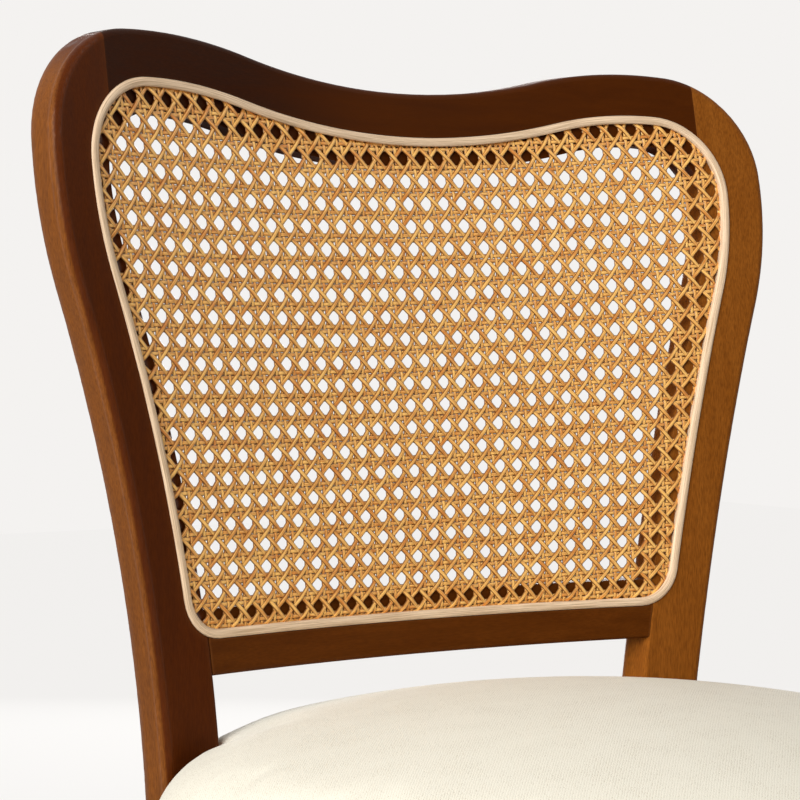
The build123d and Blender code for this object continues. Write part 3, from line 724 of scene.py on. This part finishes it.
def cushion_profile():
    """Half section of the pad from the middle of its underside round to the middle of its dome."""
    foam_radius = pad_radius - cover_skin
    dome_radius = (foam_radius ** 2 + pad_crown ** 2) / (2 * pad_crown) + cover_skin
    dome_centre = pad_top - dome_radius
    reach = dome_radius - roll_radius
    end = math.acos((pad_radius - roll_radius) / reach)
    roll_z = dome_centre + reach * math.sin(end)
    profile = [(pad_radius * share, pad_bottom) for share in (0.0, 0.2, 0.4, 0.6, 0.8)]
    profile.append((pad_radius - draw_in - hem_inset, pad_bottom))
    height = roll_z - pad_bottom - hem_rise
    profile += [(pad_radius - draw_in * (1 - i / side_steps) ** 2,
                 pad_bottom + hem_rise + height * i / side_steps) for i in range(side_steps)]
    profile += [(pad_radius - roll_radius + roll_radius * math.cos(end * i / roll_steps),
                 roll_z + roll_radius * math.sin(end * i / roll_steps)) for i in range(roll_steps + 1)]
    profile += [(dome_radius * math.cos(end + (math.pi / 2 - end) * i / dome_steps),
                 dome_centre + dome_radius * math.sin(end + (math.pi / 2 - end) * i / dome_steps))
                for i in range(1, dome_steps)]
    return profile + [(0.0, pad_top)]


def add_ring(build, radius, heights):
    """Ring of points round the seat's axis, evenly spread, one at each height."""
    angles = [2 * math.pi * i / len(heights) for i in range(len(heights))]
    return [build.verts.new((radius * math.cos(angle), radius * math.sin(angle), z))
            for angle, z in zip(angles, heights)]


def cushion_start():
    """Domed round form with a rolled edge and drawn-in sides."""
    build = bmesh.new()
    rings = []
    for radius, z in cushion_profile():
        if radius < 1e-6:
            rings.append([build.verts.new((0, 0, z))])
        else:
            rings.append(add_ring(build, radius, [z] * pad_turns))
    for lower, upper in zip(rings, rings[1:]):
        for i in range(pad_turns):
            j = (i + 1) % pad_turns
            if len(lower) == 1:
                build.faces.new((lower[0], upper[j], upper[i]))
            elif len(upper) == 1:
                build.faces.new((lower[i], lower[j], upper[0]))
            else:
                build.faces.new((lower[i], lower[j], upper[j], upper[i]))
    return new_piece("seat_cushion", build)


def notch_block(side):
    """Block that cuts the notch for one post, its inner face leaning out as the post does."""
    outside = side * notch_reach
    build = bmesh.new()
    points = [build.verts.new(corner)
              for inner, z in ((side * post_inner_low, notch_low), (side * post_inner_high, notch_high))
              for corner in ((inner, post_front, z), (outside, post_front, z),
                             (outside, notch_reach, z), (inner, notch_reach, z))]
    for face in ((0, 1, 2, 3), (4, 7, 6, 5), (0, 4, 5, 1), (1, 5, 6, 2), (2, 6, 7, 3), (3, 7, 4, 0)):
        build.faces.new([points[i] for i in face])
    return new_piece("notch", build)


def apply_modifiers(piece):
    """Turns a piece's modifiers into mesh."""
    evaluated = piece.evaluated_get(bpy.context.evaluated_depsgraph_get())
    mesh = bpy.data.meshes.new_from_object(evaluated)
    piece.modifiers.clear()
    piece.data = mesh


def inflate(cushion):
    """Cloth simulation of the stuffed cover, with no point let further than two millimetres."""
    start = [vertex.co.copy() for vertex in cushion.data.vertices]
    held = cushion.vertex_groups.new(name="held")
    held.add([vertex.index for vertex in cushion.data.vertices
              if vertex.co.z < pad_bottom + cover_held_height], 1.0, "ADD")
    cloth = cushion.modifiers.new("cover", "CLOTH")
    cloth.settings.use_pressure = True
    cloth.settings.uniform_pressure_force = cover_pressure
    cloth.settings.vertex_group_mass = "held"
    cloth.settings.effector_weights.gravity = 0.0
    cloth.settings.quality = 4
    for step in range(1, cover_frames + 1):
        bpy.context.scene.frame_set(step)
    evaluated = cushion.evaluated_get(bpy.context.evaluated_depsgraph_get())
    ends = [vertex.co.copy() for vertex in evaluated.data.vertices]
    cushion.modifiers.remove(cloth)
    cushion.vertex_groups.remove(held)
    for vertex, before, after in zip(cushion.data.vertices, start, ends):
        move = after - before
        if move.length > cover_most_move:
            move = move.normalized() * cover_most_move
        vertex.co = before + move
        reach = math.hypot(vertex.co.x, vertex.co.y)
        if reach > cover_most_reach:
            vertex.co.x *= cover_most_reach / reach
            vertex.co.y *= cover_most_reach / reach
    bpy.context.scene.frame_set(1)


def stuff_cushion():
    """Cuts the notches, softens them and blows the cover up a little, as its foam does."""
    cushion = cushion_start()
    blocks = [notch_block(side) for side in (-1, 1)]
    for block in blocks:
        cut = cushion.modifiers.new("notch", "BOOLEAN")
        cut.operation = "DIFFERENCE"
        cut.object = block
        cut.solver = "EXACT"
    apply_modifiers(cushion)
    for block in blocks:
        bpy.data.objects.remove(block)
    remesh = cushion.modifiers.new("even", "REMESH")
    remesh.mode = "VOXEL"
    remesh.voxel_size = cover_voxel
    smooth = cushion.modifiers.new("soften", "SMOOTH")
    smooth.factor = 0.5
    smooth.iterations = 3
    apply_modifiers(cushion)
    inflate(cushion)
    subdivide = cushion.modifiers.new("finer", "SUBSURF")
    subdivide.levels = 1
    subdivide.render_levels = 1
    apply_modifiers(cushion)
    for polygon in cushion.data.polygons:
        polygon.use_smooth = True
    return cushion


def ivory_twill(name):
    """Close ivory twill: fine diagonal ribs, slubs and a slight change of tone from yarn to yarn."""
    material, tree, shader = new_material(name)
    place = own_place(tree)
    diagonal = add_node(tree, "ShaderNodeMapping", {"Vector": place, "Rotation": (0, 0, math.radians(47))})
    ribs = add_node(tree, "ShaderNodeTexWave", {"Vector": diagonal.outputs["Vector"], "Scale": 245.0,
                                                "Distortion": 5.0, "Detail": 4.0, "Detail Scale": 3.0},
                    wave_type="BANDS", bands_direction="X")
    yarn_place = add_node(tree, "ShaderNodeMapping", {"Vector": place, "Scale": (900, 2600, 900),
                                                      "Rotation": (0, 0, math.radians(-8))})
    yarns = add_noise(tree, yarn_place.outputs["Vector"], 1.0, 2.0)
    mottle = add_noise(tree, place, 45.0, 4.0)
    weave = add_math(tree, "MULTIPLY_ADD", yarns, 1.3, ribs.outputs["Fac"])
    full = add_math(tree, "MULTIPLY_ADD", mottle, 0.5, weave)
    ivory = tone_ramp(tree, full, 0.8, 1.0, (0.62, 0.57, 0.45, 1), (0.86, 0.825, 0.705, 1))
    set_inputs(tree, shader, {"Base Color": ivory, "Normal": add_relief(tree, weave, 0.3, 0.0002),
                              "Roughness": 0.92, "Sheen Weight": 0.1, "Sheen Roughness": 0.5})
    return material


seat_cushion = stuff_cushion()
seat_cushion.data.materials.append(ivory_twill("Ivory twill"))
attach(seat_cushion, "root")
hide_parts("seat_cover", "seat_foam")

# Dust cloth: one round of black non-woven fabric, pulled tight under the seat board inside the ring.
# Steel staples hold its edge to the board, and it puckers a little between them.
cloth_radius = 0.2187
cloth_face = 0.3989
cloth_thickness = 0.0005
cloth_sag = 0.0018
cloth_pucker = 0.0003
cloth_rings = 16
turns_per_staple = 6
staple_count = 32
staple_circle = 0.2115
staple_half_span = 0.005
staple_leg = 0.004
staple_wire = 0.0006


def felted_surface(name, scale, detail, dark, light, strength, distance, roughness):
    """Even surface with a fine grain that changes its tone a little and stands out from it."""
    material, tree, shader = new_material(name)
    grain = add_noise(tree, own_place(tree), scale, detail)
    set_inputs(tree, shader, {"Base Color": tone_ramp(tree, grain, 0.3, 0.7, dark, light),
                              "Normal": add_relief(tree, grain, strength, distance), "Roughness": roughness})
    return material


def cloth_height(radius, turn):
    """Underside of the cloth: it sags in the middle and puckers between the staples."""
    share = radius / cloth_radius
    pucker = cloth_pucker * (1 - math.cos(staple_count * turn)) * share ** 6
    return cloth_face - cloth_sag * (1 - share ** 2) + pucker


def cut_dust_cloth():
    """Round cloth with both faces and a closed edge."""
    build = bmesh.new()
    turns = staple_count * turns_per_staple
    faces, edges = [], []
    for lift in (0.0, cloth_thickness):
        middle = build.verts.new((0, 0, cloth_height(0, 0) + lift))
        rings = []
        for step in range(1, cloth_rings + 1):
            radius = cloth_radius * step / cloth_rings
            rings.append(add_ring(build, radius, [cloth_height(radius, 2 * math.pi * i / turns) + lift
                                                  for i in range(turns)]))
        for i in range(turns):
            faces.append(build.faces.new((middle, rings[0][i], rings[0][(i + 1) % turns])))
        for inner, outer in zip(rings, rings[1:]):
            for i in range(turns):
                j = (i + 1) % turns
                faces.append(build.faces.new((inner[i], outer[i], outer[j], inner[j])))
        edges.append(rings[-1])
    under, over = edges
    for i in range(turns):
        j = (i + 1) % turns
        faces.append(build.faces.new((under[i], over[i], over[j], under[j])))
    for face in faces:
        face.smooth = True
    return new_piece("dust_cloth", build)


def drive_staples():
    """Ring of wire staples, their legs up in the board."""
    crown = cloth_face - staple_wire
    inner = staple_half_span - staple_wire
    outline = [(-staple_half_span, crown), (staple_half_span, crown), (staple_half_span, crown + staple_leg),
               (inner, crown + staple_leg), (inner, crown + staple_wire), (-inner, crown + staple_wire),
               (-inner, crown + staple_leg), (-staple_half_span, crown + staple_leg)]
    build = bmesh.new()
    for number in range(staple_count):
        turn = 2 * math.pi * number / staple_count
        out = Vector((math.cos(turn), math.sin(turn), 0))
        side = Vector((-math.sin(turn), math.cos(turn), 0))
        rows = [[build.verts.new(out * (staple_circle + offset) + side * along + Vector((0, 0, z)))
                 for along, z in outline] for offset in (-staple_wire / 2, staple_wire / 2)]
        build.faces.new(rows[0])
        build.faces.new(list(reversed(rows[1])))
        for i in range(len(outline)):
            j = (i + 1) % len(outline)
            build.faces.new((rows[0][j], rows[0][i], rows[1][i], rows[1][j]))
    return new_piece("dust_cloth_staples", build)


dust_cloth = cut_dust_cloth()
dust_cloth.data.materials.append(felted_surface("Dust cloth", 900.0, 4.0, (0.012, 0.012, 0.013, 1),
                                                (0.04, 0.04, 0.042, 1), 0.4, 0.0003, 0.95))
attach(dust_cloth, "root")
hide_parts("dust_cover")
staples = drive_staples()
staples.data.materials.append(zinc)
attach(staples, "root")

# Glides: moulded brown plastic on a nail, one knocked into the end of each leg.
# The plastic has the fine grain of a spark-eroded mould.
dress("leg_glides", felted_surface("Glide plastic", 2500.0, 2.0, (0.022, 0.012, 0.007, 1),
                                   (0.035, 0.02, 0.012, 1), 0.3, 0.0002, 0.5))


# Studio: pale floor that the camera sees as bright as the backdrop, so that no horizon shows, and which
# keeps the chair's shadow. A large soft lamp stands to the left, a smaller one behind to the right, and a
# weak fill hangs over the right front.
def by_ray(tree, lighting, seen):
    """One look for light that falls on the chair, and another for what the camera and reflections see."""
    rays = add_node(tree, "ShaderNodeLightPath").outputs
    glossy = add_math(tree, "MAXIMUM", rays["Is Camera Ray"], rays["Is Glossy Ray"])
    either = add_math(tree, "MAXIMUM", glossy, rays["Is Transmission Ray"])
    return add_node(tree, "ShaderNodeMixShader", {"Fac": either, 1: lighting, 2: seen}).outputs[0]


def pale_stage(name):
    """Matt warm white floor."""
    material, tree, _ = new_material(name)
    tree.nodes.clear()
    bounce = add_node(tree, "ShaderNodeBsdfDiffuse", {"Color": (0.3, 0.29, 0.28, 1)})
    shadow = add_node(tree, "ShaderNodeBsdfDiffuse", {"Color": (0.05, 0.05, 0.049, 1)})
    glow = add_node(tree, "ShaderNodeEmission", {"Color": (0.876, 0.86, 0.843, 1), "Strength": 1.0})
    bright = add_node(tree, "ShaderNodeAddShader", {0: shadow.outputs[0], 1: glow.outputs[0]})
    look = by_ray(tree, bounce.outputs[0], bright.outputs[0])
    add_node(tree, "ShaderNodeOutputMaterial", {"Surface": look})
    return material


def light_world(world):
    """Weak light from all sides, before a pale backdrop."""
    world.use_nodes = True
    tree = world.node_tree
    tree.nodes.clear()
    ambient = add_node(tree, "ShaderNodeBackground", {"Color": (1.0, 0.99, 0.975, 1), "Strength": 0.15})
    backdrop = add_node(tree, "ShaderNodeBackground", {"Color": (0.905, 0.888, 0.871, 1), "Strength": 1.0})
    look = by_ray(tree, ambient.outputs[0], backdrop.outputs[0])
    add_node(tree, "ShaderNodeOutputWorld", {"Surface": look})


def soft_lamp(name, place, aim, size, power, colour):
    """Large square lamp turned towards a point."""
    lamp = bpy.data.lights.new(name, "AREA")
    lamp.size = size
    lamp.energy = power
    lamp.color = colour
    holder = bpy.data.objects.new(name, lamp)
    bpy.context.scene.collection.objects.link(holder)
    holder.location = place
    holder.rotation_euler = (Vector(aim) - Vector(place)).to_track_quat("-Z", "Y").to_euler()


bpy.ops.mesh.primitive_plane_add(size=12, location=(0, 0, 0))
floor = bpy.context.object
floor.name = "floor"
floor.data.materials.append(pale_stage("Pale floor"))

bpy.context.scene.world = bpy.data.worlds.new("Studio")
light_world(bpy.context.scene.world)
soft_lamp("key", (-2.58, -0.97, 1.75), (0, 0, 0.6), size=2.2, power=134, colour=(1.0, 0.985, 0.965))
soft_lamp("back", (1.7, 2.7, 0.95), (0, 0, 0.62), size=1.4, power=45, colour=(1.0, 0.99, 0.98))
soft_lamp("fill", (1.4, -0.8, 2.1), (0.1, 0, 0.49), size=1.2, power=5, colour=(1.0, 0.99, 0.975))

# Camera: stands to the left in front of the chair, a little over the panel's middle, nearly level.
# Its place, its three directions and its lens were fitted to the cane's mesh and the frame's edges.
camera_place = (-0.91197, -0.9935, 0.69018)
camera = bpy.data.cameras.new("photo_camera")
camera.sensor_width = 36
camera.lens = 116.2
camera_holder = bpy.data.objects.new("photo_camera", camera)
bpy.context.scene.collection.objects.link(camera_holder)
right = Vector((0.79368457, -0.60814534, 0.01496822))
down = Vector((-0.00832325, -0.03545916, -0.99933647))
forward = Vector((0.60827258, 0.79303335, -0.03320513))
turn = Matrix((right, -down, -forward)).transposed()
camera_holder.matrix_world = Matrix.Translation(camera_place) @ turn.to_4x4()
bpy.context.scene.camera = camera_holder
bpy.context.scene.view_settings.view_transform = "Standard"
